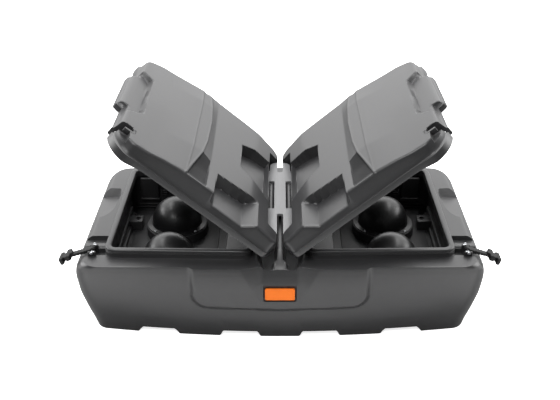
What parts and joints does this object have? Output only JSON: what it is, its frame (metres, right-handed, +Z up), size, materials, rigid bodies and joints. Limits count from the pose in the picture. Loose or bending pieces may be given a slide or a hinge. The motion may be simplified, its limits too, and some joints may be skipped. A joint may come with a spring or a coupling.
{
  "type": "twin-lid cargo box",
  "caption": "Hard-shell cargo box for an off-road vehicle: two gull-wing lids on a central hinge, rimmed compartments with helmet domes, rubber T-latches.",
  "frame": {"origin": "middle of the underside, on the plane that the feet rest on", "axes": "+X to the right seen from the front, -Y towards the front with the badge, +Z up"},
  "size_m": [1.2932, 0.671, 0.6642],
  "materials": {
    "tub_plastic": "fine grained satin, dark grey",
    "liner_plastic": "fine grained matte, near black",
    "bracket_plastic": "smooth satin black",
    "dome_gloss": "polished black",
    "seal_rubber": "soft matte",
    "latch_rubber": "moulded black rubber",
    "steel": "bright zinc plated",
    "hinge_grey": "satin grey",
    "badge_orange": "satin orange"
  },
  "bodies": {
    "base": {"base_shell": "tub_plastic", "front_badge": "badge_orange", "left_liner": "liner_plastic", "right_liner": "liner_plastic", "left_rim": "tub_plastic", "right_rim": "tub_plastic", "left_rim_seal": "seal_rubber", "right_rim_seal": "seal_rubber", "left_front_ring": "liner_plastic", "left_rear_ring": "liner_plastic", "right_front_ring": "liner_plastic", "right_rear_ring": "liner_plastic", "left_front_dome": "dome_gloss", "left_rear_dome": "dome_gloss", "right_front_dome": "dome_gloss", "right_rear_dome": "dome_gloss", "dome_screws": "steel", "left_corner_block": "liner_plastic", "right_corner_block": "liner_plastic", "liner_screws": "steel", "hinge_plate": "hinge_grey", "hinge_plate_bolts": "steel", "left_hinge_pin": "steel", "right_hinge_pin": "steel", "left_latch_bracket": "bracket_plastic", "right_latch_bracket": "bracket_plastic", "latch_bracket_screws": "steel", "left_latch_pin": "steel", "right_latch_pin": "steel"},
    "left_lid": {"left_lid_shell": "tub_plastic", "left_lid_panel": "liner_plastic", "left_lid_hinge": "tub_plastic", "left_hinge_screws": "steel", "left_latch_keeper": "bracket_plastic"},
    "right_lid": {"right_lid_shell": "tub_plastic", "right_lid_panel": "liner_plastic", "right_lid_hinge": "tub_plastic", "right_hinge_screws": "steel", "right_latch_keeper": "bracket_plastic"},
    "left_latch": {"left_latch_strap": "latch_rubber"},
    "right_latch": {"right_latch_strap": "latch_rubber"}
  },
  "joints": [
    {"name": "left_lid_hinge_turn", "type": "hinge", "parent": "base", "child": "left_lid", "pos_m": [-0.03, 0, 0.29], "axis": [0, 1, 0], "range_deg": [-40, 20]},
    {"name": "right_lid_hinge_turn", "type": "hinge", "parent": "base", "child": "right_lid", "pos_m": [0.03, 0, 0.29], "axis": [0, -1, 0], "range_deg": [-40, 20]},
    {"name": "left_latch_swing", "type": "hinge", "parent": "base", "child": "left_latch", "pos_m": [-0.545, -0.244, 0.262], "axis": [0, 1, 0], "range_deg": [0, 104]},
    {"name": "right_latch_swing", "type": "hinge", "parent": "base", "child": "right_latch", "pos_m": [0.545, -0.244, 0.262], "axis": [0, -1, 0], "range_deg": [0, 104]}
  ]
}
